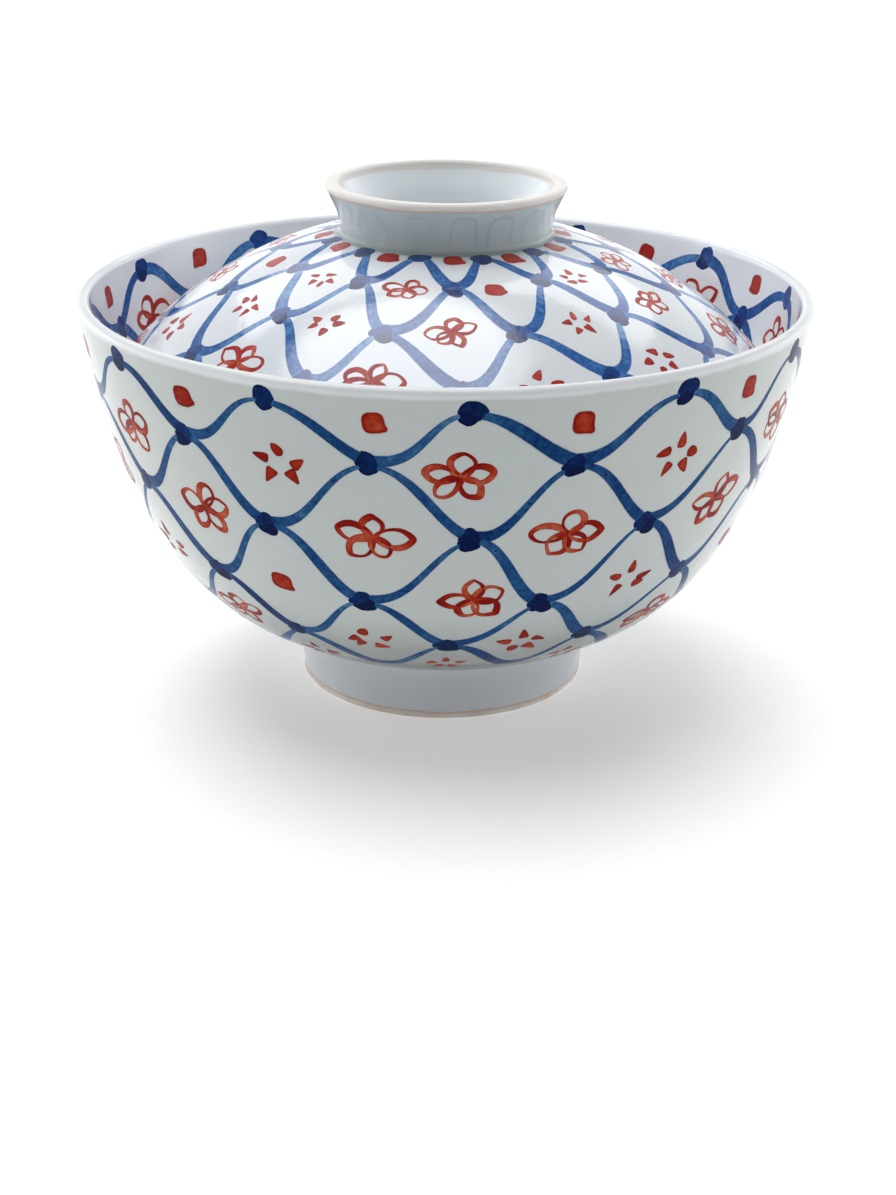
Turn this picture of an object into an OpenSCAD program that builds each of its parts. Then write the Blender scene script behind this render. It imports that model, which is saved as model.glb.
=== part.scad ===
// Lidded rice bowl: a footed porcelain bowl and the domed lid that sits down inside its mouth.
// Millimetres, +Z up, origin at the middle of the foot's standing face.
// Each wall section is drawn as radius and height pairs and turned once round the Z axis.

/* [Bowl] */
// Outside diameter at the rim
rim_d = 150; // [120:1:180]
// Height from the table to the rim
bowl_h = 84; // [60:1:110]
// Thickness of the rounded rim
rim_t = 2.8; // [2:0.1:4]
// Height of the eating surface at its middle
floor_h = 15.5; // [13:0.5:20]
// Height of the glazed underside inside the foot ring
underside_h = 9; // [7:0.5:11]
// Lean of the outer wall at the rim, measured from upright
rim_flare = 10.6; // [0:0.1:25]
// Pull of the outer wall's curve at the rim
rim_pull = 37.5; // [20:0.5:50]
// Rise of the outer wall where it leaves the foot
belly_rise = 17; // [5:1:40]
// Pull of the outer wall's curve at the foot
belly_pull = 30.5; // [15:0.5:45]

/* [Bowl inside] */
// Lean of the inner wall at the rim, measured from upright
inner_flare = 10.8; // [0:0.1:25]
// Pull of the inner wall's curve at the rim
inner_rim_pull = 71.5; // [40:0.5:80]
// Pull of the inner wall's curve across the floor
inner_floor_pull = 36; // [20:0.5:60]

/* [Foot ring] */
// Outside diameter where the foot meets the bowl
foot_top_d = 62; // [50:1:75]
// Outside diameter at the table
foot_d = 60.4; // [50:0.1:75]
// Height where the foot meets the outside of the bowl
foot_h = 12; // [8:0.5:16]
// Thickness of the foot ring
foot_t = 3.2; // [2:0.1:5]
// Radius that softens the foot ring's standing edges
foot_edge_r = 0.8; // [0.3:0.1:1.4]

/* [Lid] */
// Outside diameter of the lid's edge
lid_d = 136.4; // [110:0.1:160]
// Height of the lid's edge when the lid is seated
seat_h = 65; // [50:0.5:80]
// Thickness of the lid's rounded edge
lid_edge_t = 2.6; // [2:0.1:4]
// Slope of the dome at its edge, measured from level
dome_edge_slope = 52; // [30:1:70]
// Pull of the dome's curve at its edge
dome_edge_pull = 17; // [8:0.5:30]
// Slope of the dome at the foot of the grip ring, measured from level
dome_top_slope = 11; // [4:1:25]
// Pull of the dome's curve at the grip ring
dome_top_pull = 20; // [8:0.5:30]
// Height of the dome where the grip ring stands on it
shoulder_h = 95.3; // [85:0.1:105]
// Height of the dome's middle, inside the grip ring
crown_h = 96.4; // [86:0.1:106]
// Thickness of the dome at its middle
crown_t = 3.6; // [2.5:0.1:6]
// Pull of the underside's curve across the middle
underside_pull = 37; // [20:0.5:60]

/* [Grip ring] */
// Outside diameter at the top of the grip ring
grip_top_d = 49; // [38:1:60]
// Outside diameter of the grip ring's waist, where it meets the dome
grip_waist_d = 43; // [34:1:54]
// Height of the grip ring's top face
grip_h = 105.5; // [95:0.5:115]
// Thickness of the grip ring
grip_t = 2.8; // [2:0.1:4]
// Lean of the grip ring at its top, measured from upright
grip_flare = 24; // [5:1:40]
// Radius that softens the grip ring's top edges
grip_edge_r = 0.9; // [0.3:0.1:1.3]

/* [Hidden] */
$fn = 96;
curve_steps = 28;
arc_steps = 8;
glaze_white = [0.90, 0.93, 0.94];
glaze_blue_white = [0.84, 0.88, 0.92];

rim_r = rim_d / 2;
rim_edge_r = rim_t / 2;
rim_centre = [rim_r - rim_edge_r, bowl_h - rim_edge_r];
foot_top_r = foot_top_d / 2;
foot_r = foot_d / 2;
lid_edge_r = lid_edge_t / 2;
lid_edge_centre = [lid_d / 2 - lid_edge_r, seat_h + lid_edge_r];
waist_r = grip_waist_d / 2;
grip_r = grip_top_d / 2;
grip_pull = 3.4;

// Unit steps in the radius and height plane, one at an angle above level, one leaning out from upright.
function level(angle) = [cos(angle), sin(angle)];
function upright(lean) = [sin(lean), cos(lean)];
function reversed(points) = [for (i = [len(points) - 1 : -1 : 0]) points[i]];

// A smooth curve from p0 to p3; the offsets set its direction and pull at those two ends.
function curve_point(p0, p1, p2, p3, t) =
    pow(1 - t, 3) * p0 + 3 * pow(1 - t, 2) * t * p1 + 3 * (1 - t) * t * t * p2 + pow(t, 3) * p3;
function curve(p0, offset0, offset3, p3) =
    [for (i = [0 : curve_steps]) curve_point(p0, p0 + offset0, p3 + offset3, p3, i / curve_steps)];

// Points round part of a circle, end points left out where the walls already have them.
function arc(centre, r, start, stop) =
    [for (i = [1 : arc_steps - 1]) centre + r * level(start + (stop - start) * i / arc_steps)];

// A ring's end face between its two walls: rounded corners with a flat land between them.
function soft_end(inner_r, outer_r, centre_z, edge_r, facing) = concat(
    arc([outer_r - edge_r, centre_z], edge_r, 0, facing * 90),
    [[outer_r - edge_r, centre_z + facing * edge_r], [inner_r + edge_r, centre_z + facing * edge_r]],
    arc([inner_r + edge_r, centre_z], edge_r, facing * 90, facing * 180));

module turned(points, glaze) {
    color(glaze) rotate_extrude() polygon(points);
}

// Thrown bowl: outer wall from the foot up, rounded rim, inner wall down to the floor.
module bowl_body() {
    low_out = [foot_top_r, foot_h];
    high_out = rim_centre + [rim_edge_r, 0];
    low_in = [0, floor_h];
    high_in = rim_centre - [rim_edge_r, 0];
    turned(concat(
        [[0, underside_h], [foot_top_r - foot_t, underside_h]],
        curve(low_out, belly_pull * level(belly_rise), -rim_pull * upright(rim_flare), high_out),
        arc(rim_centre, rim_edge_r, 0, 180),
        reversed(curve(low_in, [inner_floor_pull, 0], -inner_rim_pull * upright(inner_flare), high_in))),
        glaze_white);
}

// Trimmed foot: a slightly tapered ring with a flat standing face.
module bowl_foot_ring() {
    turned(concat(
        [[foot_top_r - foot_t, underside_h], [foot_top_r, foot_h], [foot_r, foot_edge_r]],
        soft_end(foot_r - foot_t, foot_r, foot_edge_r, foot_edge_r, -1),
        [[foot_r - foot_t, foot_edge_r]]),
        glaze_blue_white);
}

// Domed lid: a shell whose rounded edge hangs just clear of the bowl's inner wall.
module lid_dome() {
    edge_step = lid_edge_r * upright(dome_edge_slope);
    edge_pull = dome_edge_pull * level(180 - dome_edge_slope);
    top_pull = dome_top_pull * level(-dome_top_slope);
    turned(concat(
        [[0, crown_h], [waist_r - grip_t, crown_h]],
        curve([waist_r, shoulder_h], top_pull, edge_pull, lid_edge_centre + edge_step),
        arc(lid_edge_centre, lid_edge_r, 90 - dome_edge_slope, -90 - dome_edge_slope),
        reversed(curve([0, crown_h - crown_t], [underside_pull, 0], edge_pull, lid_edge_centre - edge_step))),
        glaze_white);
}

// Flared grip ring on the dome; the upturned lid stands on its flat top face.
module lid_grip_ring() {
    top_z = grip_h - grip_edge_r;
    lean = -grip_pull * upright(grip_flare);
    turned(concat(
        curve([waist_r, shoulder_h], [0, grip_pull], lean, [grip_r, top_z]),
        soft_end(grip_r - grip_t, grip_r, top_z, grip_edge_r, 1),
        reversed(curve([waist_r - grip_t, crown_h], [0, grip_pull], lean, [grip_r - grip_t, top_z]))),
        glaze_blue_white);
}

bowl_body();
bowl_foot_ring();
lid_dome();
lid_grip_ring();
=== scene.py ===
"""Looks of the lidded rice bowl: glazed porcelain, a brushed cobalt net and iron-red flowers.

The walls are turned from the same curves as the CAD solids. All the painting is thin raised
brushwork laid on those walls: a stroke follows a path on the wall, a blob fills a small outline.
Lengths are in millimetres until a mesh is made. On a wall, a place is (turn, down): the angle
round the axis in radians, 0 at the front, and the distance along the wall's section. A step on a
wall is (sideways, down) in millimetres.
"""
import math
import random

import bpy
import numpy as np
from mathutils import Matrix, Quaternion, Vector


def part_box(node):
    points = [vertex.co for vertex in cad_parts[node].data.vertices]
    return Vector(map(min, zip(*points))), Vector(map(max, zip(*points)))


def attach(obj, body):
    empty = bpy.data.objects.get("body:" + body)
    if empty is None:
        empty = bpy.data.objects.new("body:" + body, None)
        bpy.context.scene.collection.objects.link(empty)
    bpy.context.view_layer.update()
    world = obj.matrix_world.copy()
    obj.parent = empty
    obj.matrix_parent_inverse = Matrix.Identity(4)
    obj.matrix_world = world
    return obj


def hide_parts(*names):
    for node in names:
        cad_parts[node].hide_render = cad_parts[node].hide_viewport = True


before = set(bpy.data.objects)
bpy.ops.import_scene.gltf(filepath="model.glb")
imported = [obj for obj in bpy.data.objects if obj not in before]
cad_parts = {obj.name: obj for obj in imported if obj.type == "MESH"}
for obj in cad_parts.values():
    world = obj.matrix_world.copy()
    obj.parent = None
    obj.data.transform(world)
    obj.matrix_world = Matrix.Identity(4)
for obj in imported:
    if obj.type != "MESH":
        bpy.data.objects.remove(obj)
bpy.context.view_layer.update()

MM = 0.001
TINY = 1e-9
SEED = 11


# ---------------------------------------------------------------- sizes read from the CAD frame
def box_mm(node):
    low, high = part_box(node)
    return np.array(low) / MM, np.array(high) / MM


body_low, body_high = box_mm("bowl_body")
foot_high = box_mm("bowl_foot_ring")[1]
dome_low, dome_high = box_mm("lid_dome")
grip_low, grip_high = box_mm("lid_grip_ring")

RIM_R, BOWL_H, UNDERSIDE_H = body_high[0], body_high[2], body_low[2]
FOOT_TOP_R, FOOT_H = foot_high[0], foot_high[2]
LID_R, SEAT_H, CROWN_H = dome_high[0], dome_low[2], dome_high[2]
GRIP_R, GRIP_H, SHOULDER_H = grip_high[0], grip_high[2], grip_low[2]

# Sizes that the boxes don't give. A flare is degrees from upright, a rise or a slope degrees from level.
RIM_EDGE_R, RIM_FLARE, RIM_PULL = 1.4, 10.6, 37.5
BELLY_RISE, BELLY_PULL = 17, 30.5
FLOOR_H, INNER_FLOOR_PULL = 15.5, 36
INNER_FLARE, INNER_RIM_PULL = 10.8, 71.5
FOOT_TAPER, FOOT_T, FOOT_EDGE_R = 0.8, 3.2, 0.8
LID_EDGE_R, DOME_EDGE_SLOPE, DOME_EDGE_PULL = 1.3, 52, 17
DOME_TOP_SLOPE, DOME_TOP_PULL = 11, 20
CROWN_T, CROWN_PULL = 3.6, 37
GRIP_SPREAD, GRIP_T, GRIP_EDGE_R = 3, 2.8, 0.9
GRIP_FLARE, GRIP_PULL = 24, 3.4
FOOT_R = FOOT_TOP_R - FOOT_TAPER
WAIST_R = GRIP_R - GRIP_SPREAD


# ---------------------------------------------------------------- sections of the walls
def level(degrees):
    return np.array([math.cos(math.radians(degrees)), math.sin(math.radians(degrees))])


def upright(degrees):
    return np.array([math.sin(math.radians(degrees)), math.cos(math.radians(degrees))])


def curve(start, start_pull, end_pull, end, steps=110):
    """A smooth section between two points; the pulls set its direction at those points."""
    start, end = np.array(start, float), np.array(end, float)
    t = np.linspace(0, 1, steps + 1)[:, None]
    near, far = start + start_pull, end + end_pull
    return (1 - t) ** 3 * start + 3 * (1 - t) ** 2 * t * near + 3 * (1 - t) * t * t * far + t ** 3 * end


def arc(centre, radius, start, stop, steps=12):
    return np.array([np.array(centre) + radius * level(a) for a in np.linspace(start, stop, steps + 1)])


def straight(start, end, steps=8):
    return np.linspace(np.array(start, float), np.array(end, float), steps + 1)


rim_centre = np.array([RIM_R - RIM_EDGE_R, BOWL_H - RIM_EDGE_R])
lid_edge_centre = np.array([LID_R - LID_EDGE_R, SEAT_H + LID_EDGE_R])
lid_edge_step = LID_EDGE_R * upright(DOME_EDGE_SLOPE)
lid_edge_run = DOME_EDGE_PULL * level(180 - DOME_EDGE_SLOPE)

bowl_outer = curve(rim_centre + [RIM_EDGE_R, 0], -RIM_PULL * upright(RIM_FLARE),
                   BELLY_PULL * level(BELLY_RISE), [FOOT_TOP_R, FOOT_H])
bowl_inner = curve(rim_centre - [RIM_EDGE_R, 0], -INNER_RIM_PULL * upright(INNER_FLARE),
                   [INNER_FLOOR_PULL, 0], [0, FLOOR_H])
dome_outer = curve([WAIST_R, SHOULDER_H], DOME_TOP_PULL * level(-DOME_TOP_SLOPE),
                   lid_edge_run, lid_edge_centre + lid_edge_step)
dome_inner = curve([0, CROWN_H - CROWN_T], [CROWN_PULL, 0], lid_edge_run, lid_edge_centre - lid_edge_step)

# The grip ring's outer wall starts on the run of glaze that fills the corner with the dome.
GLAZE_RUN_H = 0.7
grip_top = GRIP_H - GRIP_EDGE_R
grip_lean = -GRIP_PULL * upright(GRIP_FLARE)
grip_outer = curve([WAIST_R, SHOULDER_H + GLAZE_RUN_H], [0, GRIP_PULL],
                   grip_lean, [GRIP_R, grip_top], steps=40)


class Wall:
    """One side of a turned wall, walked by the distance down its section.

    side is 1 where the wall faces away from the axis and -1 where it faces toward it.
    """

    def __init__(self, section, side):
        self.section = section
        self.side = side
        steps = np.hypot(*np.diff(section, axis=0).T)
        self.down = np.concatenate([[0], np.cumsum(steps)])
        run = np.gradient(section, self.down, axis=0)
        run /= np.linalg.norm(run, axis=1)[:, None]
        self.facing = side * np.stack([-run[:, 1], run[:, 0]], axis=1)

    def radius(self, down):
        return np.interp(down, self.down, self.section[:, 0])

    def facing_at(self, down):
        """The outward and upward parts of the wall's normal."""
        return np.interp(down, self.down, self.facing[:, 0]), np.interp(down, self.down, self.facing[:, 1])

    def place(self, turn, down, lift):
        """Points on the wall, lifted off it along its own normal."""
        out, up = self.facing_at(down)
        height = np.interp(down, self.down, self.section[:, 1])
        return turned_points(turn, self.radius(down) + out * lift, height + up * lift)

    def normal(self, turn, down):
        out, up = self.facing_at(down)
        return np.stack([out * np.sin(turn), -out * np.cos(turn), up], axis=-1)


OVAL, OVAL_TURN = 0.0012, 0.8
THREE_SIDED, THREE_SIDED_TURN = 0.0007, 2.1


def turned_points(turn, r, z):
    """Section points carried round the axis, with the slight unevenness of a thrown pot."""
    uneven = 1 + OVAL * np.cos(2 * turn + OVAL_TURN) + THREE_SIDED * np.cos(3 * turn + THREE_SIDED_TURN)
    return np.stack([r * uneven * np.sin(turn), -r * uneven * np.cos(turn), z + 0 * turn], axis=-1)


OUTER_WALL = Wall(bowl_outer, side=1)
INNER_WALL = Wall(np.concatenate([arc(rim_centre, RIM_EDGE_R, 90, 180), bowl_inner[1:]]), side=-1)
DOME_WALL = Wall(dome_outer, side=1)
GRIP_WALL = Wall(grip_outer[::-1], side=1)


# ---------------------------------------------------------------- meshes
LATHE_COLUMNS = 288
ON_AXIS = 1e-6


def new_object(name, points, faces, material):
    mesh = bpy.data.meshes.new(name)
    mesh.from_pydata((np.asarray(points) * MM).tolist(), [], faces)
    mesh.validate()
    mesh.shade_smooth()
    mesh.materials.append(material)
    piece = bpy.data.objects.new(name, mesh)
    bpy.context.scene.collection.objects.link(piece)
    return piece


def point_values(mesh, label, values):
    attribute = mesh.attributes.new(label, "FLOAT", "POINT")
    attribute.data.foreach_set("value", np.array(values, np.float32))


def inwardness(section):
    """1 where a section, drawn with the clay on its left, faces the axis, and 0 where it faces out.

    The level floor and underside of the bowl count as facing the axis.
    """
    run = np.gradient(section, axis=0)
    outward = run[:, 1] / (np.linalg.norm(run, axis=1) + TINY)
    enclosed = (section[:, 1] < BOWL_H / 2) & (outward < 0.1)
    return np.where(enclosed, 1, np.clip(-outward, 0, 1))


def turned_piece(name, section, material):
    """Turns a section into a mesh. A point on the axis becomes a single vertex."""
    turns = np.linspace(0, 2 * math.pi, LATHE_COLUMNS, endpoint=False)
    points, rings, inward, total = [], [], [], 0
    for (r, z), share in zip(section, inwardness(section)):
        if r < ON_AXIS:
            points.append([[0.0, 0.0, z]])
            rings.append([total] * LATHE_COLUMNS)
        else:
            points.append(turned_points(turns, r, z))
            rings.append(list(range(total, total + LATHE_COLUMNS)))
        count = len(points[-1])
        inward.extend([share] * count)
        total += count
    closed = section[0][0] > ON_AXIS
    pairs = list(zip(rings, rings[1:])) + ([(rings[-1], rings[0])] if closed else [])
    faces = []
    for upper, lower in pairs:
        for i in range(LATHE_COLUMNS):
            j = (i + 1) % LATHE_COLUMNS
            corners = [upper[i], upper[j], lower[j], lower[i]]
            faces.append(list(dict.fromkeys(corners)))
    piece = new_object(name, np.concatenate(points), faces, material)
    point_values(piece.data, "inward", inward)
    return piece


def declare(piece, body, node=None):
    """Says which body a piece rides on, and hides the CAD node it stands for."""
    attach(piece, body)
    if node:
        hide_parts(node)


# ---------------------------------------------------------------- brushwork on the walls
# A mark is a thin closed shell: a top that is proud in the middle, and a flat side buried in the wall.
STROKE_ACROSS = np.array([-1, -0.86, -0.5, 0, 0.5, 0.86, 1])
BLOB_RINGS = np.array([0.3, 0.6, 0.84, 1.0])
EDGE_LIFT = -0.012
BURIED_LIFT, BURIED_SIZE = -0.06, 0.9
STROKE_LOOP = np.concatenate([STROKE_ACROSS, [BURIED_SIZE, -BURIED_SIZE]])


def sideways(path, r, closed):
    """At each point of a path, the unit step across it."""
    flat = np.stack([path[:, 0] * r.mean(), path[:, 1]], axis=1)
    if closed:
        run = np.roll(flat, -1, axis=0) - np.roll(flat, 1, axis=0)
    else:
        run = np.gradient(flat, axis=0)
    run /= np.linalg.norm(run, axis=1)[:, None] + TINY
    return np.stack([-run[:, 1], run[:, 0]], axis=1)


class Brushwork:
    """Strokes and blobs of one pigment on one wall, gathered into a single mesh.

    The point attribute "edge" runs from 0 in the middle of a mark to 1 at its edge, and "load" is how
    much pigment the brush carried. softness 1 lets the marks fade out at their edges, and 0.7 keeps
    their colour to the very edge.
    """

    def __init__(self, wall, rise, softness=1.0):
        self.wall = wall
        self.rise = rise
        self.softness = softness
        self.points, self.normals, self.faces = [], [], []
        self.edge, self.load = [], []
        self.count = 0

    def add(self, turn, down, lift, edge, load, faces):
        self.points.append(self.wall.place(turn, down, lift))
        self.normals.append(self.wall.normal(turn, down))
        self.edge.append(edge * self.softness)
        self.load.append(np.broadcast_to(load, turn.shape))
        order = self.wall.side
        self.faces.extend([[self.count + i for i in face[::order]] for face in faces])
        self.count += len(turn)

    def profile(self, edge):
        """Height of the pigment across a mark: proud in the middle, just under the glaze at its edge."""
        return self.rise * (1 - edge ** 4) + EDGE_LIFT * edge ** 4

    def stroke(self, path, half_width, load, closed=False):
        """A ribbon of pigment along a path of (turn, down) places."""
        n, k = len(path), len(STROKE_LOOP)
        r = self.wall.radius(path[:, 1])
        side = sideways(path, r, closed)
        offset = np.broadcast_to(half_width, n)[:, None] * STROKE_LOOP
        turn = path[:, 0, None] + side[:, 0, None] * offset / r[:, None]
        down = path[:, 1, None] + side[:, 1, None] * offset
        lift = np.concatenate([self.profile(np.abs(STROKE_ACROSS)), [BURIED_LIFT, BURIED_LIFT]])
        rows = n if closed else n - 1
        faces = [
            [i * k + j, i * k + (j + 1) % k, (i + 1) % n * k + (j + 1) % k, (i + 1) % n * k + j]
            for i in range(rows) for j in range(k)
        ]
        if not closed:
            faces.append(list(range(k))[::-1])
            faces.append([(n - 1) * k + j for j in range(k)])
        self.add(turn.ravel(), down.ravel(), np.tile(lift, n), np.tile(np.abs(STROKE_LOOP), n),
                 np.repeat(np.broadcast_to(load, n), k), faces)

    def blob(self, centre, outline, load):
        """A filled mark. The outline is a ring of steps round its centre."""
        outline = np.array(outline)
        n = len(outline)
        r = float(self.wall.radius(centre[1]))
        rings = [(size, self.profile(size), size) for size in BLOB_RINGS]
        rings.append((BURIED_SIZE, BURIED_LIFT, 1.0))
        turn, down, lift, edge = [centre[0]], [centre[1]], [self.rise], [0.0]
        for size, ring_lift, ring_edge in rings:
            turn.extend(centre[0] + outline[:, 0] * size / r)
            down.extend(centre[1] + outline[:, 1] * size)
            lift.extend([ring_lift] * n)
            edge.extend([ring_edge] * n)
        faces = [[0, 1 + (i + 1) % n, 1 + i] for i in range(n)]
        for ring in range(len(rings) - 1):
            a, b = 1 + ring * n, 1 + (ring + 1) * n
            faces += [[a + i, a + (i + 1) % n, b + (i + 1) % n, b + i] for i in range(n)]
        last = 1 + (len(rings) - 1) * n
        faces.append([last + i for i in range(n)])
        self.add(np.array(turn), np.array(down), np.array(lift), np.array(edge), load, faces)

    def piece(self, name, material):
        made = new_object(name, np.concatenate(self.points), self.faces, material)
        point_values(made.data, "edge", np.concatenate(self.edge))
        point_values(made.data, "load", np.concatenate(self.load))
        made.data.normals_split_custom_set_from_vertices(np.concatenate(self.normals).tolist())
        return made


# ---------------------------------------------------------------- the net
COLUMNS = 12
TURN_STEP = 2 * math.pi / COLUMNS
PEAK_DROP, TROUGH_LIFT = 0.6, 0.5
OPEN_CELL = 9
KNOT_SWAY, ROW_SWAY, TOP_ROW_SWAY = 0.016, 0.45, 0.2
STRAND_STEPS, STRAND_SPREAD = 36, 0.57
RIGHT_BENDS, LEFT_BENDS, TOP_LEFT_BENDS = (2.0, 1.2), (1.25, 2.2), (1.9, 2.2)
SPECK_CHANCE, SPECK_BROAD, SPECK_TALL, SPECK_LOAD = 0.3, 0.36, 0.32, 1.1
SPECK_STEPS = (3, 14)
KNOT_BROAD, KNOT_TALL, KNOT_LOAD = (2.35, 2.8), (2.3, 2.7), (0.74, 0.88)
POOL_CHANCE, POOL_BROAD, POOL_TALL, POOL_LOAD = 0.85, 2.5, 2.2, 0.25
POOL_SIDEWAYS, POOL_DOWN = (-0.6, 1.0), (0.6, 1.2)


class Net:
    """Rows of knots round a wall. Odd rows sit half a column round from even rows.

    first_turn is where the first knot stands and drift how far each row creeps round, in degrees.
    dot_down is the middle of the half cells above the first row, and the first knot_rows rows have knots.
    inking is added to what the brush carries, and scale makes every mark larger or smaller.
    """

    def __init__(self, wall, rows, seed, first_turn, dot_down,
                 knot_rows=5, drift=0.0, inking=0.0, scale=1.0):
        self.wall = wall
        self.rows = rows
        self.dot_down = dot_down
        self.knot_rows = knot_rows
        self.inking = inking
        self.scale = scale
        self.random = random.Random(seed)
        self.knots = {}
        for row, down in enumerate(rows):
            for column in range(COLUMNS):
                turn = math.radians(first_turn + drift * row) + (column + 0.5 * (row % 2)) * TURN_STEP
                turn += self.random.gauss(0, KNOT_SWAY)
                sway = ROW_SWAY if row else TOP_ROW_SWAY
                self.knots[row, column] = (turn, down + self.random.gauss(0, sway))

    def knot(self, row, column):
        turns, column = divmod(column, COLUMNS)
        turn, down = self.knots[row, column]
        return turn + turns * 2 * math.pi, down

    def strand(self, top, bottom, start, stop, widths):
        """One strand from a knot down to the next row: its path, its half widths and its load.

        start and stop say how flat it runs at its ends: 1 is a plain diagonal, 2 and more a round bend.
        widths are its full widths at the top, in the middle and at the bottom.
        """
        rnd = self.random
        s = np.linspace(0, 1, STRAND_STEPS)
        start, stop = start + rnd.gauss(0, 0.12), stop + rnd.gauss(0, 0.10)
        fall = s ** start / (s ** start + (1 - s) ** stop)
        turn = top[0] + (bottom[0] - top[0]) * s + rnd.gauss(0, 0.005) * np.sin(np.pi * s)
        down = top[1] + PEAK_DROP * (1 - s) + (bottom[1] - top[1] - TROUGH_LIFT * s) * fall
        down += rnd.gauss(0, 0.18) * np.sin(2 * np.pi * s)
        width = np.interp(s, [0, 0.5, 1], widths) * (1 + rnd.gauss(0, 0.07))
        width += 0.07 * np.sin(s * rnd.uniform(7, 14) + rnd.uniform(0, 6))
        load = np.interp(width, [0.6, 3.0], [0.34, 0.58]) + self.inking + rnd.gauss(0, 0.04)
        half_width = np.clip(width * self.scale, 0.5, None) * STRAND_SPREAD
        return np.stack([turn, down], axis=1), half_width, load

    def paint_strands(self, brush, speck_brush, right_widths, left_widths):
        """Every knot sends a strand down to its right and one down to its left, some with a dark speck."""
        specks = []
        for row in range(len(self.rows) - 1):
            for column in range(COLUMNS):
                top = self.knot(row, column)
                right = self.knot(row + 1, column + row % 2)
                left = self.knot(row + 1, column + row % 2 - 1)
                left_bends = LEFT_BENDS if row else TOP_LEFT_BENDS
                for strand in (self.strand(top, right, *RIGHT_BENDS, right_widths),
                               self.strand(top, left, *left_bends, left_widths)):
                    brush.stroke(*strand)
                    if self.random.random() < SPECK_CHANCE:
                        specks.append(strand[0][self.random.randint(*SPECK_STEPS)])
        for place in specks:
            speck_brush.blob(place, rough_ring(self.random, SPECK_BROAD, SPECK_TALL, 0.15, 10), SPECK_LOAD)

    def paint_knots(self, brush):
        """Each knot is one round touch, most with a darker touch below where the cobalt pooled."""
        rnd = self.random
        for row in range(self.knot_rows):
            for column in range(COLUMNS):
                turn, down = self.knot(row, column)
                broad, tall = rnd.uniform(*KNOT_BROAD) * self.scale, rnd.uniform(*KNOT_TALL) * self.scale
                load = rnd.uniform(*KNOT_LOAD) + self.inking
                brush.blob((turn, down), rough_ring(rnd, broad, tall, 0.07, 26), load)
                if rnd.random() < POOL_CHANCE:
                    turn += rnd.uniform(*POOL_SIDEWAYS) / self.wall.radius(down)
                    down += rnd.uniform(*POOL_DOWN) * self.scale
                    pool = rough_ring(rnd, POOL_BROAD * self.scale, POOL_TALL * self.scale, 0.09, 20)
                    brush.blob((turn, down), pool, load + POOL_LOAD)

    def cell_centre(self, row, column):
        """The middle of the cell that hangs under a knot."""
        turn, down = self.knot(row, column)
        below = self.rows[row + 2] if row + 2 < len(self.rows) else self.rows[-1] + OPEN_CELL
        return turn, (down + below) / 2

    def half_cell(self, column):
        """The open space between two knots of the top row."""
        left, right = self.knot(0, column), self.knot(0, column + 1)
        return (left[0] + right[0]) / 2, self.dot_down


# ---------------------------------------------------------------- marks and motifs
def leaned(x, y, angle):
    """A step turned by an angle."""
    return x * math.cos(angle) - y * math.sin(angle), x * math.sin(angle) + y * math.cos(angle)


def rough_ring(rnd, broad, tall, roughness, count):
    """A hand-painted oval: a ring of steps with a soft unevenness."""
    phases = [rnd.uniform(0, 2 * math.pi) for _ in range(3)]
    lean = rnd.uniform(-0.4, 0.4)
    ring = []
    for i in range(count):
        a = 2 * math.pi * i / count
        swell = 1 + roughness * (math.sin(2 * a + phases[0]) + 0.6 * math.sin(3 * a + phases[1])
                                 + 0.35 * math.sin(5 * a + phases[2]))
        ring.append(leaned(broad * swell * math.cos(a), tall * swell * math.sin(a), lean))
    return ring


PETAL_ANGLES = (164, 74, 6, -58, -136)
FLOWER_BROAD, FLOWER_TALL = 6.3, 4.4
PETAL_REACH, PETAL_FULLNESS, PETAL_POINT = (0.88, 1.12), (1.7, 2.5), (0.0, 0.9)


def paint_flower(brush, centre, rnd, size):
    """Five looped petals, wider than tall, drawn with an outline brush."""
    r = float(brush.wall.radius(centre[1]))
    tilt = rnd.gauss(0, 7)
    a = np.linspace(0, 2 * math.pi, 44, endpoint=False)
    outward = 0.5 - 0.5 * np.cos(a)
    for degrees in PETAL_ANGLES:
        angle = math.radians(degrees + tilt + rnd.gauss(0, 8))
        oval = math.hypot(FLOWER_BROAD * math.cos(angle), FLOWER_TALL * math.sin(angle))
        reach = oval * size * rnd.uniform(*PETAL_REACH)
        fullness = rnd.uniform(*PETAL_FULLNESS) * size
        point = rnd.uniform(*PETAL_POINT)
        along = 0.3 + reach * outward
        across = fullness * np.sin(a) * (0.72 + 0.42 * outward) * (1 - point * outward ** 5)
        x, up = leaned(along, across, angle)
        path = np.stack([centre[0] + x / r, centre[1] - up], axis=1)
        width = 0.61 + 0.23 * np.sin(a + rnd.uniform(0, 6)) + 0.05 * np.sin(3 * a + rnd.uniform(0, 6))
        load = 0.56 + 0.36 * np.cos(a + rnd.uniform(0, 6))
        brush.stroke(path, width * size, load, closed=True)


DAB_ANGLES = (92, 165, 235, 308, 10)
DABS_BROAD, DABS_TALL = 3.6, 2.9
DAB_LONG, DAB_THICK, DAB_SHARP, DAB_LOAD = (1.6, 2.15), (1.0, 1.4), (0.05, 0.24), (0.4, 0.85)


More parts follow.
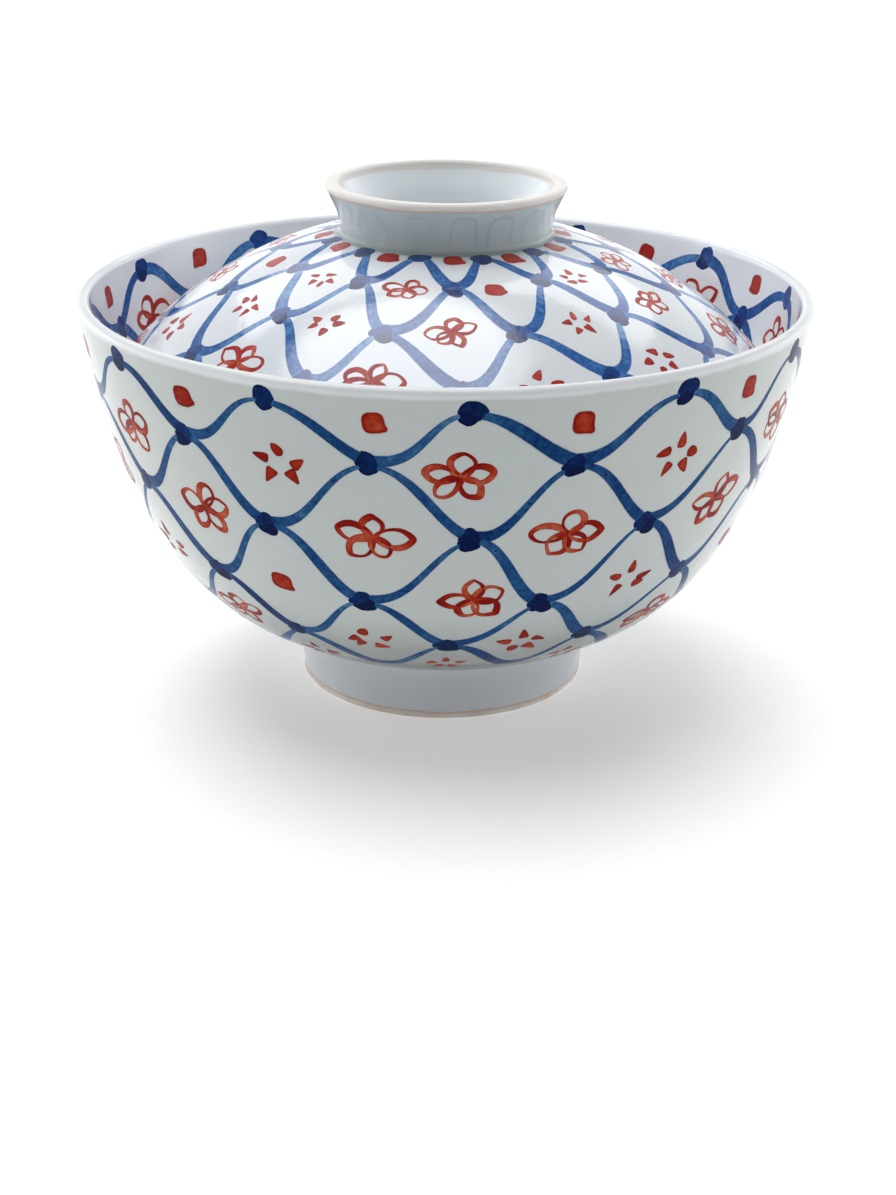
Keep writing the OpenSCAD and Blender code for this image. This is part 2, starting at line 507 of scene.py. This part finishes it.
def paint_dabs(brush, centre, rnd, size):
    """Five short wedge-shaped dabs set round an empty middle."""
    r = float(brush.wall.radius(centre[1]))
    tilt = rnd.uniform(-14, 14)
    for degrees in DAB_ANGLES:
        angle = math.radians(degrees + tilt + rnd.gauss(0, 8))
        x, y = DABS_BROAD * size * math.cos(angle), -DABS_TALL * size * math.sin(angle)
        long, thick = rnd.uniform(*DAB_LONG) * size, rnd.uniform(*DAB_THICK) * size
        lean, sharp = math.atan2(y, x) + rnd.gauss(0, 0.5), rnd.uniform(*DAB_SHARP)
        ring = []
        for i in range(24):
            a = 2 * math.pi * i / 24
            corner = 1 + sharp * (math.cos(3 * a) + 0.3 * math.cos(6 * a))
            ring.append(leaned(long * corner * math.cos(a), thick * corner * math.sin(a), lean))
        brush.blob((centre[0] + x / r, centre[1] + y), ring, rnd.uniform(*DAB_LOAD))


DOT_BROAD, DOT_TALL, DOT_LOAD = (2.4, 2.8), (2.5, 2.9), (0.45, 0.75)
TAIL_LENGTH, TAIL_WIDTH = 0.30, 0.02
SQUARENESS = 0.06


def paint_dot(brush, centre, rnd, size):
    """One full brush touch: a rounded square with one corner drawn out."""
    tail, turned = rnd.uniform(0.3, 1.3), rnd.uniform(-1, 1)
    broad, tall = rnd.uniform(*DOT_BROAD) * size, rnd.uniform(*DOT_TALL) * size
    ring = []
    for i in range(36):
        a = 2 * math.pi * i / 36
        pull = 1 + TAIL_LENGTH * math.exp(-((math.sin((a - tail) / 2)) ** 2) / TAIL_WIDTH)
        square = 1 - SQUARENESS * math.cos(4 * a + turned)
        ring.append((broad * pull * square * math.cos(a), tall * pull * square * math.sin(a)))
    brush.blob(centre, ring, rnd.uniform(*DOT_LOAD))


MOTIFS = {"flower": paint_flower, "dabs": paint_dabs, "dot": paint_dot}
HALF_CELLS = -1
FULL_SIZE_R, SMALLEST_MOTIF = 60, 0.68


def paint_motifs(net, brush, plan):
    """The plan gives, for each row of cells, the motifs that repeat round it.

    Flowers and dabs shrink with their cells, down to the smallest motif.
    """
    rnd = random.Random(SEED + 5)
    for row, motifs in plan.items():
        for column in range(COLUMNS):
            motif = motifs[column % len(motifs)]
            turn, down = net.half_cell(column) if row == HALF_CELLS else net.cell_centre(row, column)
            place = (turn + rnd.gauss(0, 0.012), down + rnd.gauss(0, 0.4))
            shrink = min(1.0, max(float(net.wall.radius(down)) / FULL_SIZE_R, SMALLEST_MOTIF))
            MOTIFS[motif](brush, place, rnd, net.scale * (1.0 if motif == "dot" else shrink))


# ---------------------------------------------------------------- materials
class Nodes:
    """Short calls for wiring a tree of nodes. A value is a number, a colour or another node's socket."""

    def __init__(self, tree):
        self.tree = tree

    def make(self, kind, *values, **settings):
        node = self.tree.nodes.new(kind)
        for name, value in settings.items():
            setattr(node, name, value)
        for socket, value in zip(node.inputs, values):
            self.feed(socket, value)
        return node

    def feed(self, socket, value):
        if isinstance(value, bpy.types.NodeSocket):
            self.tree.links.new(value, socket)
        else:
            socket.default_value = value

    def math(self, operation, a, b=0.0):
        return self.make("ShaderNodeMath", a, b, operation=operation).outputs[0]

    def total(self, *terms):
        """Adds terms, each a value or a (value, weight) pair."""
        result = 0.0
        for term in terms:
            if isinstance(term, tuple):
                term = self.math("MULTIPLY", *term)
            result = self.math("ADD", term, result)
        return result

    def spread(self, value, low, high, at_low, at_high, kind="LINEAR"):
        """Goes from at_low to at_high while the value goes from low to high, and stops there."""
        return self.make("ShaderNodeMapRange", value, low, high, at_low, at_high,
                         interpolation_type=kind).outputs[0]

    def smooth(self, value, low, high, top=1.0):
        """Goes gently from 0 to top while the value goes from low to high."""
        return self.spread(value, low, high, 0.0, top, "SMOOTHSTEP")


class Shader(Nodes):
    """The nodes of one material."""

    def __init__(self, name, roughness, gloss=0.5):
        self.material = bpy.data.materials.new(name)
        self.material.use_nodes = True
        super().__init__(self.material.node_tree)
        self.tree.nodes.clear()
        self.surface = self.make("ShaderNodeBsdfPrincipled")
        self.make("ShaderNodeOutputMaterial", self.surface.outputs[0])
        self.place = self.make("ShaderNodeTexCoord").outputs["Object"]
        self.height = self.make("ShaderNodeSeparateXYZ", self.place).outputs["Z"]
        self.finish("Roughness", roughness)
        self.finish("Specular IOR Level", gloss)

    def finish(self, name, value):
        self.feed(self.surface.inputs[name], value)

    def attribute(self, name):
        return self.make("ShaderNodeAttribute", attribute_name=name).outputs["Fac"]

    def noise(self, size_mm, detail=2):
        """Noise centred on zero, with features about as large as size_mm."""
        node = self.make("ShaderNodeTexNoise", self.place)
        node.inputs["Scale"].default_value = 1 / (size_mm * MM)
        node.inputs["Detail"].default_value = detail
        return self.math("SUBTRACT", node.outputs[0], 0.5)

    def mix(self, factor, a, b):
        node = self.make("ShaderNodeMix", data_type="RGBA")
        self.feed(node.inputs[0], factor)
        self.feed(node.inputs[6], (*a, 1) if isinstance(a, tuple) else a)
        self.feed(node.inputs[7], (*b, 1) if isinstance(b, tuple) else b)
        return node.outputs[2]

    def ramp(self, value, stops):
        node = self.make("ShaderNodeValToRGB", value)
        band = node.color_ramp
        while len(band.elements) < len(stops):
            band.elements.new(0.5)
        for element, (position, colour) in zip(band.elements, stops):
            element.position = position
            element.color = (*colour, 1)
        return node.outputs[0]

    def bump(self, height, depth_mm):
        node = self.make("ShaderNodeBump")
        node.inputs["Distance"].default_value = depth_mm * MM
        self.feed(node.inputs["Height"], height)
        self.finish("Normal", node.outputs[0])

    def paint(self, colour):
        self.finish("Base Color", colour)
        return self.material


GLAZE_ROUGHNESS, BISCUIT_ROUGHNESS, ENAMEL_ROUGHNESS = 0.10, 0.72, 0.15
GLAZE_DEPTH, ENAMEL_DEPTH = 0.5, 0.12
SHELL_GLOSS, LID_GLOSS, LID_RED_GLOSS = 0.4, 0.9, 0.35
OUTSIDE_INK_GLOSS, INSIDE_INK_GLOSS = 0.03, 0.15
CLOUD_SIZE, POOL_AND_SHADING_FADE, THIN_FADE = 45, 26, 1.2
FLECK_SPACING, FLECK_SIZE, FLECK_STRENGTH = 19, 0.011, 0.6
ABOVE, BELOW, NEVER = 1, -1, 1000
# One glaze, set to a different level on each piece as painted light and shade: darker on the bowl's outer
# wall, the foot and the grip ring, lighter on the lid.
# The inside tones are lighter as painted light. The thick tone is the one low down: pooled glaze with
# painted shade on the bowl and the grip ring, painted light on the foot.
BOWL_GLAZE_PAINTED_SHADING = {"warm": (0.500, 0.530, 0.494), "cool": (0.468, 0.510, 0.512),
              "thick": (0.150, 0.172, 0.155), "thin": (0.760, 0.780, 0.790),
              "inside": (0.860, 0.885, 0.910)}
LID_GLAZE_PAINTED_SHADING = {"warm": (0.830, 0.860, 0.860), "cool": (0.785, 0.832, 0.885),
             "thick": (0.583, 0.638, 0.682), "thin": (0.860, 0.900, 0.930),
             "inside": (0.700, 0.730, 0.750)}
FOOT_GLAZE_PAINTED_SHADING = {"warm": (0.565, 0.590, 0.626), "cool": (0.572, 0.600, 0.645),
              "thick": (0.760, 0.790, 0.840), "thin": (0.740, 0.790, 0.830),
              "inside": (0.600, 0.630, 0.670)}
GRIP_GLAZE_PAINTED_SHADING = {"warm": (0.545, 0.606, 0.592), "cool": (0.528, 0.590, 0.612),
              "thick": (0.407, 0.467, 0.467), "thin": (0.840, 0.880, 0.910),
              "inside": (0.880, 0.920, 0.945)}
IRON_FLECK = (0.30, 0.24, 0.18)
BISCUIT_LIGHT = (0.82, 0.79, 0.75)
BISCUIT_DARK = (0.66, 0.53, 0.45)
SCORCH = (0.62, 0.30, 0.13)

# The tones of each pigment, from the thinnest wash at 0 to the thickest pool at 1.
# The shaded copies are darkened as painted shade, for the outside of the bowl and the grip ring; the lit
# copies are lightened as painted light, for the lid and the inside of the bowl.
COBALT_SHADED = [(0.0, (0.18, 0.30, 0.44)), (0.28, (0.064, 0.165, 0.31)), (0.45, (0.019, 0.086, 0.215)),
               (0.62, (0.006, 0.048, 0.165)), (0.80, (0.001, 0.019, 0.102)), (1.0, (0.0005, 0.007, 0.050))]
COBALT_LIT = [(0.0, (0.31, 0.48, 0.70)), (0.28, (0.105, 0.280, 0.55)), (0.46, (0.024, 0.135, 0.41)),
                (0.62, (0.006, 0.068, 0.290)), (0.80, (0.003, 0.040, 0.215)), (1.0, (0.001, 0.017, 0.110))]
RED_ENAMEL_SHADED = [(0.0, (0.46, 0.105, 0.052)), (0.22, (0.36, 0.030, 0.010)), (0.45, (0.24, 0.006, 0.002)),
            (0.70, (0.150, 0.002, 0.001)), (1.0, (0.075, 0.001, 0.001))]
RED_ENAMEL_LIT = [(0.0, (0.54, 0.115, 0.060)), (0.22, (0.47, 0.028, 0.010)), (0.45, (0.40, 0.008, 0.002)),
               (0.70, (0.30, 0.003, 0.001)), (1.0, (0.17, 0.001, 0.001))]


def glaze_colour(shader, tint, pool_and_shading_below, thin_above=NEVER):
    """Blue-white glaze in broad clouds, whiter where it thins on top, and shifted to its thick tone low
    down: pooled glaze with painted shade, on the foot painted light.
    """
    clouds = shader.total((shader.noise(CLOUD_SIZE), 1.6), 0.5)
    colour = shader.mix(clouds, tint["warm"], tint["cool"])
    drift = shader.total(shader.height, (shader.noise(20), 0.006))
    # Low down: pooled glaze with painted shade on the bowl and the grip ring, painted light on the foot.
    thick = shader.smooth(drift, (pool_and_shading_below + POOL_AND_SHADING_FADE) * MM, pool_and_shading_below * MM)
    colour = shader.mix(thick, colour, tint["thick"])
    thin = shader.smooth(shader.total(shader.height, (shader.noise(12), 0.0012)),
                         thin_above * MM, (thin_above + THIN_FADE) * MM)
    colour = shader.mix(thin, colour, tint["thin"])
    cells = shader.make("ShaderNodeTexVoronoi", shader.place)
    cells.inputs["Scale"].default_value = 1 / (FLECK_SPACING * MM)
    fleck = shader.math("LESS_THAN", cells.outputs["Distance"], FLECK_SIZE)
    return shader.mix(shader.math("MULTIPLY", fleck, FLECK_STRENGTH), colour, IRON_FLECK)


def glaze_relief(shader):
    """Slow swells of the thrown wall and a finer waviness of the melted glaze."""
    swell, wave, ripple = shader.noise(24, 1), shader.noise(5), shader.noise(1.1, 1)
    return shader.total((swell, 1.0), (wave, 0.16), (ripple, 0.015))


def wiped_bare(shader, colour, inside, line, side, scorch):
    """Bare clay past a wavering line, on its side ABOVE or BELOW.

    scorch is the clay's darker tone. Where the glaze ends there is a scorched hairline.
    """
    wander = shader.total((shader.noise(9), 0.0007), (shader.noise(1.6), 0.0003))
    depth = shader.math("MULTIPLY", shader.total(shader.height, wander, -line * MM), side)
    naked = shader.smooth(depth, -0.00008, 0.00012)
    blotches = shader.total((shader.noise(6, 4), 1.5), 0.5)
    clay = shader.ramp(blotches, [(0.2, BISCUIT_LIGHT), (0.9, scorch)])
    rising, falling = shader.smooth(depth, -0.00025, 0.0), shader.smooth(depth, 0.0005, 0.00005)
    hairline = shader.math("MULTIPLY", rising, falling)
    scorched = shader.math("MULTIPLY", hairline, shader.total((inside, -0.4), 0.55))
    return naked, shader.mix(scorched, shader.mix(naked, colour, clay), SCORCH)


def glaze_material(name, tint, levels, gloss, bare=None):
    """Glossy glaze, with a lighter tint of its own on the side that faces the axis, as painted light.

    levels are the heights below which it takes its thick tone (pooled glaze with painted shade, on the
    foot painted light) and above which it thins. bare says where the clay is
    wiped bare: the line, the side and the darker tone that wiped_bare takes.
    """
    shader = Shader(name, GLAZE_ROUGHNESS, gloss)
    # The side that faces the axis is lightened: painted light.
    inside = shader.smooth(shader.attribute("inward"), 0.25, 0.6)
    colour = shader.mix(inside, glaze_colour(shader, tint, *levels), tint["inside"])
    relief = glaze_relief(shader)
    if bare:
        naked, colour = wiped_bare(shader, colour, inside, *bare)
        shader.finish("Roughness", shader.spread(naked, 0.0, 1.0, GLAZE_ROUGHNESS, BISCUIT_ROUGHNESS))
        grain = shader.math("MULTIPLY", shader.noise(0.35, 3), naked)
        relief = shader.total(relief, (grain, 0.12))
    shader.bump(relief, GLAZE_DEPTH)
    return shader.paint(colour)


def cobalt_material(tint, pool_and_shading_below, gloss, tones):
    """Cobalt brushed under the glaze: watery where the brush is thin, near black where it pools."""
    shader = Shader("cobalt_under_glaze", GLAZE_ROUGHNESS, gloss)
    edge, load = shader.attribute("edge"), shader.attribute("load")
    pooled = shader.smooth(edge, 0.45, 0.9)
    streaks, grain = shader.noise(5, 3), shader.noise(0.9, 3)
    density = shader.total(load, (streaks, 0.42), (grain, 0.55), (pooled, 0.13), -0.05)
    pigment = shader.ramp(density, tones)
    feather = shader.smooth(shader.total(edge, (shader.noise(0.6), 0.10)), 0.90, 0.70)
    strength = shader.smooth(load, -0.06, 0.34)
    cover = shader.math("MULTIPLY", feather, strength)
    shader.bump(glaze_relief(shader), GLAZE_DEPTH)
    return shader.paint(shader.mix(cover, glaze_colour(shader, tint, pool_and_shading_below), pigment))


def iron_red_material(tint, pool_and_shading_below, gloss, tones):
    """Iron-red enamel on top of the glaze, drawn darker where it gathers along its edges."""
    shader = Shader("iron_red_enamel", ENAMEL_ROUGHNESS, gloss)
    edge, load = shader.attribute("edge"), shader.attribute("load")
    gathered = shader.smooth(edge, 0.50, 0.92)
    streaks, grain = shader.noise(1.5, 3), shader.noise(0.4)
    density = shader.total((load, 0.62), (gathered, 0.30), (streaks, 0.55), (grain, 0.2), -0.05)
    pigment = shader.ramp(density, tones)
    feather = shader.smooth(shader.total(edge, (shader.noise(0.5), 0.06)), 0.93, 0.82)
    shader.bump(shader.total(shader.noise(0.5, 3), (glaze_relief(shader), 0.5)), ENAMEL_DEPTH)
    return shader.paint(shader.mix(feather, glaze_colour(shader, tint, pool_and_shading_below), pigment))


# ---------------------------------------------------------------- the two clay pieces
RIM_THIN, CROWN_THIN = 2.3, 0.9
FOOT_BARE, GRIP_BARE = 1.7, 1.5
# How far below the foot's base and the grip ring's waist the thick tone is full: painted light on the
# foot, pooled glaze with painted shade on the grip ring.
POOL_AND_SHADING_DEPTH = 12
FOOT_FILLET, FOOT_FILLET_H = 1.5, 0.45
FOOT_COVE, FOOT_COVE_H = 1.2, 0.15
APRON, APRON_SINK = 1.3, 0.25
GRIP_COVE, GRIP_COVE_H = 1.3, 0.8


def foot_section():
    """The foot ring: its outer wall flares into the belly with a small run of glaze."""
    inner_r = FOOT_R - FOOT_T
    outer = curve([FOOT_R, FOOT_EDGE_R], [0.1, 6], [-FOOT_FILLET - 0.2, -0.5],
                  [FOOT_TOP_R + FOOT_FILLET, FOOT_H + FOOT_FILLET_H], steps=30)
    tuck = [[inner_r + 0.8, UNDERSIDE_H + 0.6]]
    inner = curve([inner_r - FOOT_COVE, UNDERSIDE_H + FOOT_COVE_H], [FOOT_COVE, 0], [0, 3.0],
                  [inner_r, FOOT_EDGE_R], steps=20)
    base = np.concatenate([
        arc([inner_r + FOOT_EDGE_R, FOOT_EDGE_R], FOOT_EDGE_R, 180, 270),
        arc([FOOT_R - FOOT_EDGE_R, FOOT_EDGE_R], FOOT_EDGE_R, 270, 360)])
    return np.concatenate([outer, tuck, inner, base[1:-1]])


def grip_section():
    """The grip ring: glaze run out onto the dome, concave flare, soft top edges, cove inside."""
    inner_foot, inner_top = WAIST_R - GRIP_T, GRIP_R - GRIP_T
    apron = curve([WAIST_R + APRON, SHOULDER_H - APRON_SINK], [-1.0, 0.15],
                  [0, -0.5], grip_outer[0], steps=12)
    crest = np.concatenate([
        arc([GRIP_R - GRIP_EDGE_R, grip_top], GRIP_EDGE_R, 0, 90),
        arc([inner_top + GRIP_EDGE_R, grip_top], GRIP_EDGE_R, 90, 180)])
    inner = curve([inner_top, grip_top], grip_lean, [0, GRIP_PULL],
                  [inner_foot, CROWN_H + GRIP_COVE_H], steps=30)
    cove = curve([inner_foot, CROWN_H + GRIP_COVE_H], [0, -0.6], [0.8, 0],
                 [inner_foot - GRIP_COVE, CROWN_H - 0.05], steps=12)
    tuck = [[inner_foot + 0.5, CROWN_H - 1.0]]
    return np.concatenate([apron, grip_outer[1:], crest[1:-1], inner, cove[1:], tuck])


def build_bowl():
    section = np.concatenate([
        straight([0, UNDERSIDE_H], [FOOT_TOP_R - FOOT_T, UNDERSIDE_H]),
        bowl_outer[::-1],
        arc(rim_centre, RIM_EDGE_R, 0, 180)[1:-1],
        bowl_inner])
    # The bowl's glaze is darkened outside as painted shade, with more painted shade toward the foot, and
    # lightened inside as painted light; the foot's glaze grows lighter toward its bottom as painted light.
    glaze = glaze_material("bowl_glaze", BOWL_GLAZE_PAINTED_SHADING, (FOOT_H, BOWL_H - RIM_THIN), SHELL_GLOSS)
    foot_glaze = glaze_material("foot_glaze", FOOT_GLAZE_PAINTED_SHADING, (-POOL_AND_SHADING_DEPTH, NEVER), SHELL_GLOSS,
                                bare=(FOOT_BARE, BELOW, BISCUIT_DARK))
    declare(turned_piece("bowl_shell", section, glaze), "bowl", "bowl_body")
    declare(turned_piece("bowl_foot", foot_section(), foot_glaze), "bowl", "bowl_foot_ring")


def build_lid():
    section = np.concatenate([
        dome_inner,
        arc(lid_edge_centre, LID_EDGE_R, -90 - DOME_EDGE_SLOPE, 90 - DOME_EDGE_SLOPE)[1:-1],
        dome_outer[::-1],
        straight([WAIST_R - 0.1, SHOULDER_H], [WAIST_R - GRIP_T, CROWN_H])[1:],
        straight([WAIST_R - GRIP_T, CROWN_H], [0, CROWN_H])[1:]])
    # The lid's glaze is lightened as painted light; the grip ring's glaze darkens toward its waist as
    # pooled glaze with painted shade, and is lightened inside as painted light.
    glaze = glaze_material("lid_glaze", LID_GLAZE_PAINTED_SHADING, (0, CROWN_H - CROWN_THIN), LID_GLOSS)
    grip_glaze = glaze_material("grip_glaze", GRIP_GLAZE_PAINTED_SHADING, (SHOULDER_H - POOL_AND_SHADING_DEPTH, NEVER), SHELL_GLOSS,
                                bare=(GRIP_H - GRIP_BARE, ABOVE, BISCUIT_LIGHT))
    declare(turned_piece("lid_shell", section, glaze), "lid", "lid_dome")
    declare(turned_piece("lid_grip", grip_section(), grip_glaze), "lid", "lid_grip_ring")


# ---------------------------------------------------------------- the painting
# How far down its wall each row of knots sits, and the motifs of each row of cells.
OUTER_ROWS = [2.6, 13.9, 29.4, 45.4, 58.7, 70.6]
OUTER_PLAN = {
    HALF_CELLS: ["dot"],
    0: ["flower", "dabs"],
    1: ["flower"],
    2: ["flower", "dabs", "dot"],
    3: ["dabs", "flower", "dabs"],
    4: ["dabs"],
}
INNER_ROWS = [4.2, 13.4, 24.4, 35.7]
INNER_PLAN = {HALF_CELLS: ["dot"], 0: ["flower"], 1: ["dabs"]}
DOME_ROWS = [2.0, 12.4, 26.0, 39.4, 51.5]
DOME_PLAN = {
    HALF_CELLS: ["dot"],
    0: ["dot", "dabs", "flower"],
    1: ["dabs", "flower", "flower", "dabs", "dabs", "flower"],
    2: ["dabs", "dabs", "flower", "dabs", "flower", "flower"],
    3: ["flower"],
}

# Widths of the strands that fall to the right and to the left: at the top, in the middle, at the bottom.
OUTER_STRANDS = ((1.4, 2.5, 3.0), (0.9, 1.8, 3.1))
INNER_STRANDS = ((1.6, 2.6, 2.6), (3.0, 2.8, 2.2))
LID_STRANDS = ((1.5, 2.5, 3.3), (1.3, 2.4, 3.4))

# How far each kind of mark stands proud of the wall.
STRAND_RISE, KNOT_RISE, MOTIF_RISE, ARCH_RISE = 0.03, 0.05, 0.07, 0.02


def paint_wall(place, body, net, widths, plan, cobalt, red):
    """Paints one wall in three pieces: the net's strands, its knots and the motifs in its cells."""
    strands = Brushwork(net.wall, STRAND_RISE)
    knots = Brushwork(net.wall, KNOT_RISE, softness=0.7)
    motifs = Brushwork(net.wall, MOTIF_RISE)
    net.paint_strands(strands, knots, *widths)
    net.paint_knots(knots)
    paint_motifs(net, motifs, plan)
    declare(strands.piece(place + "_net", cobalt), body)
    declare(knots.piece(place + "_knots", cobalt), body)
    declare(motifs.piece(place + "_motifs", red), body)


def paint_bowl_outside():
    net = Net(OUTER_WALL, OUTER_ROWS, SEED, first_turn=5.0, dot_down=5.6, drift=-1.3, inking=0.12)
    cobalt = cobalt_material(BOWL_GLAZE_PAINTED_SHADING, FOOT_H, OUTSIDE_INK_GLOSS, COBALT_SHADED)
    red = iron_red_material(BOWL_GLAZE_PAINTED_SHADING, FOOT_H, OUTSIDE_INK_GLOSS, RED_ENAMEL_SHADED)
    paint_wall("bowl_outside", "bowl", net, OUTER_STRANDS, OUTER_PLAN, cobalt, red)


def paint_bowl_inside():
    net = Net(INNER_WALL, INNER_ROWS, SEED + 1, first_turn=6.0, dot_down=5.8, knot_rows=3)
    # The fringes of the marks inside take the lighter inside tone: painted light.
    tint = dict(BOWL_GLAZE_PAINTED_SHADING, warm=BOWL_GLAZE_PAINTED_SHADING["inside"], cool=BOWL_GLAZE_PAINTED_SHADING["inside"])
    cobalt = cobalt_material(tint, 0, INSIDE_INK_GLOSS, COBALT_LIT)
    red = iron_red_material(tint, 0, INSIDE_INK_GLOSS, RED_ENAMEL_LIT)
    paint_wall("bowl_inside", "bowl", net, INNER_STRANDS, INNER_PLAN, cobalt, red)


def paint_lid():
    net = Net(DOME_WALL, DOME_ROWS, SEED + 2, first_turn=17.0, dot_down=2.9, inking=-0.03, scale=0.92)
    cobalt = cobalt_material(LID_GLAZE_PAINTED_SHADING, 0, LID_GLOSS, COBALT_LIT)
    red = iron_red_material(LID_GLAZE_PAINTED_SHADING, 0, LID_RED_GLOSS, RED_ENAMEL_LIT)
    paint_wall("lid", "lid", net, LID_STRANDS, DOME_PLAN, cobalt, red)


ARCHES = 17
ARCH_TOP, ARCH_HEIGHT, ARCH_HALF_WIDTH = 2.3, 6.2, (2.2, 2.7)
ARCH_LOAD, ARCH_LOAD_CHANGE = 0.07, 0.015
GRIP_MIDDLE_R = 22.5


def paint_grip_arches():
    """Faint upright arches all round the grip ring."""
    brush = Brushwork(GRIP_WALL, ARCH_RISE)
    rnd = random.Random(SEED + 9)
    t = np.linspace(-1, 1, 40)
    lowest = GRIP_WALL.down[-1] - 0.2
    for i in range(ARCHES):
        middle = (i + 0.35 + rnd.gauss(0, 0.05)) * 2 * math.pi / ARCHES
        half_arch = rnd.uniform(*ARCH_HALF_WIDTH)
        across = half_arch * np.sign(t) * (1 - (1 - np.abs(t)) ** 3)
        down = ARCH_TOP + ARCH_HEIGHT * np.abs(t) ** 2.4 + rnd.gauss(0, 0.15)
        path = np.stack([middle + across / GRIP_MIDDLE_R, np.clip(down, 0, lowest)], axis=1)
        load = ARCH_LOAD + rnd.uniform(-ARCH_LOAD_CHANGE, ARCH_LOAD_CHANGE)
        brush.stroke(path, 0.42 + 0.10 * np.abs(t), load)
    cobalt = cobalt_material(GRIP_GLAZE_PAINTED_SHADING, 0, SHELL_GLOSS, COBALT_SHADED)
    declare(brush.piece("lid_grip_arches", cobalt), "lid")


# ---------------------------------------------------------------- set: floor, lights, camera
FLOOR_REACH = 4000.0
FLOOR_GLOW = 0.31
FLOOR_DARK, FLOOR_LIGHT = (0.88, 0.88, 0.88), (0.90, 0.90, 0.90)


def add_floor():
    shader = Shader("pale_floor", roughness=0.6)
    shader.finish("Emission Color", (1, 1, 1, 1))
    shader.finish("Emission Strength", FLOOR_GLOW)
    tone = shader.total((shader.noise(30), 0.02), 0.5)
    material = shader.paint(shader.mix(tone, FLOOR_DARK, FLOOR_LIGHT))
    far = FLOOR_REACH
    corners = [[-far, -far, 0], [far, -far, 0], [far, far, 0], [-far, far, 0]]
    floor = new_object("floor", corners, [[0, 1, 2, 3]], material)


# Each spread is (from, to, strength at from, strength at to) along one direction of the room.
SKY_COLOUR = (0.97, 0.985, 1.0, 1)
SURROUND_BY_DEPTH = (-0.7, 0.2, 0.05, 1.1)
SIDES_BY_DEPTH = (-0.6, 0.4, 0.45, 1.35)
WALLS_BY_HEIGHT = (0.15, 0.5, 1.0, 0.16)
SIDE_START, SIDE_FULL = 0.45, 0.85
LEFT_STRENGTH, RIGHT_STRENGTH = 1.5, 1.4
OVERHEAD_AIM = Vector((-0.14, 0.12, 1.0)).normalized()
OVERHEAD_CORE, OVERHEAD_FADE = 19, 29
OVERHEAD_STRENGTH = 3.9


def studio_world():
    """Bright low down round the back and sides, dim in front, with one broad light overhead."""
    world = bpy.data.worlds.new("studio")
    world.use_nodes = True
    room = Nodes(world.node_tree)
    direction = room.make("ShaderNodeTexCoord").outputs["Generated"]
    across, depth, height = room.make("ShaderNodeSeparateXYZ", direction).outputs
    surround = room.spread(depth, *SURROUND_BY_DEPTH)
    left = room.smooth(across, -SIDE_START, -SIDE_FULL, LEFT_STRENGTH)
    right = room.smooth(across, SIDE_START, SIDE_FULL, RIGHT_STRENGTH)
    sides = room.math("MULTIPLY", room.math("ADD", left, right), room.spread(depth, *SIDES_BY_DEPTH))
    walls = room.math("MULTIPLY", room.math("ADD", surround, sides), room.spread(height, *WALLS_BY_HEIGHT))
    facing = room.make("ShaderNodeVectorMath", direction, OVERHEAD_AIM, operation="DOT_PRODUCT")
    edge, core = (math.cos(math.radians(angle)) for angle in (OVERHEAD_FADE, OVERHEAD_CORE))
    overhead = room.smooth(facing.outputs["Value"], edge, core, OVERHEAD_STRENGTH)
    background = world.node_tree.nodes["Background"]
    room.feed(background.inputs["Color"], SKY_COLOUR)
    room.feed(background.inputs["Strength"], room.math("ADD", walls, overhead))
    return world


BACK_LIGHT_PLACE, BACK_LIGHT_TARGET = Vector((0.0, 1.5, 1.3)), Vector((0, 1.2, 0))
BACK_LIGHT_SIZE, BACK_LIGHT_WATTS = (2.4, 1.2), 16


def add_lights():
    """A soft light over the floor behind the bowl, in a room that is bright by direction."""
    lamp = bpy.data.lights.new("softbox_back", "AREA")
    lamp.shape = "RECTANGLE"
    lamp.size, lamp.size_y = BACK_LIGHT_SIZE
    lamp.energy = BACK_LIGHT_WATTS
    holder = bpy.data.objects.new("softbox_back", lamp)
    holder.location = BACK_LIGHT_PLACE
    holder.rotation_mode = "QUATERNION"
    holder.rotation_quaternion = (BACK_LIGHT_TARGET - BACK_LIGHT_PLACE).to_track_quat("-Z", "Y")
    bpy.context.scene.collection.objects.link(holder)
    bpy.context.scene.world = studio_world()


CAMERA_BACK, CAMERA_UP = 0.420, 0.18645
CAMERA_PITCH, CAMERA_YAW, CAMERA_ROLL = 22.215, 0.16, 0.6
CAMERA_LENS = 62.85


def add_camera():
    pitch, yaw = math.radians(CAMERA_PITCH), math.radians(CAMERA_YAW)
    lens = bpy.data.cameras.new("camera")
    lens.lens = CAMERA_LENS
    lens.clip_start, lens.clip_end = 0.01, 20
    camera = bpy.data.objects.new("camera", lens)
    camera.location = (0, -CAMERA_BACK, CAMERA_UP)
    camera.rotation_mode = "QUATERNION"
    forward = Vector((math.sin(yaw) * math.cos(pitch), math.cos(yaw) * math.cos(pitch), -math.sin(pitch)))
    roll = Quaternion((0, 0, 1), math.radians(CAMERA_ROLL))
    camera.rotation_quaternion = forward.to_track_quat("-Z", "Y") @ roll
    bpy.context.scene.collection.objects.link(camera)
    bpy.context.scene.camera = camera
    bpy.context.scene.view_settings.view_transform = "Standard"


# ---------------------------------------------------------------- the whole scene
build_bowl()
build_lid()
paint_bowl_outside()
paint_bowl_inside()
paint_lid()
paint_grip_arches()
add_floor()
add_lights()
add_camera()
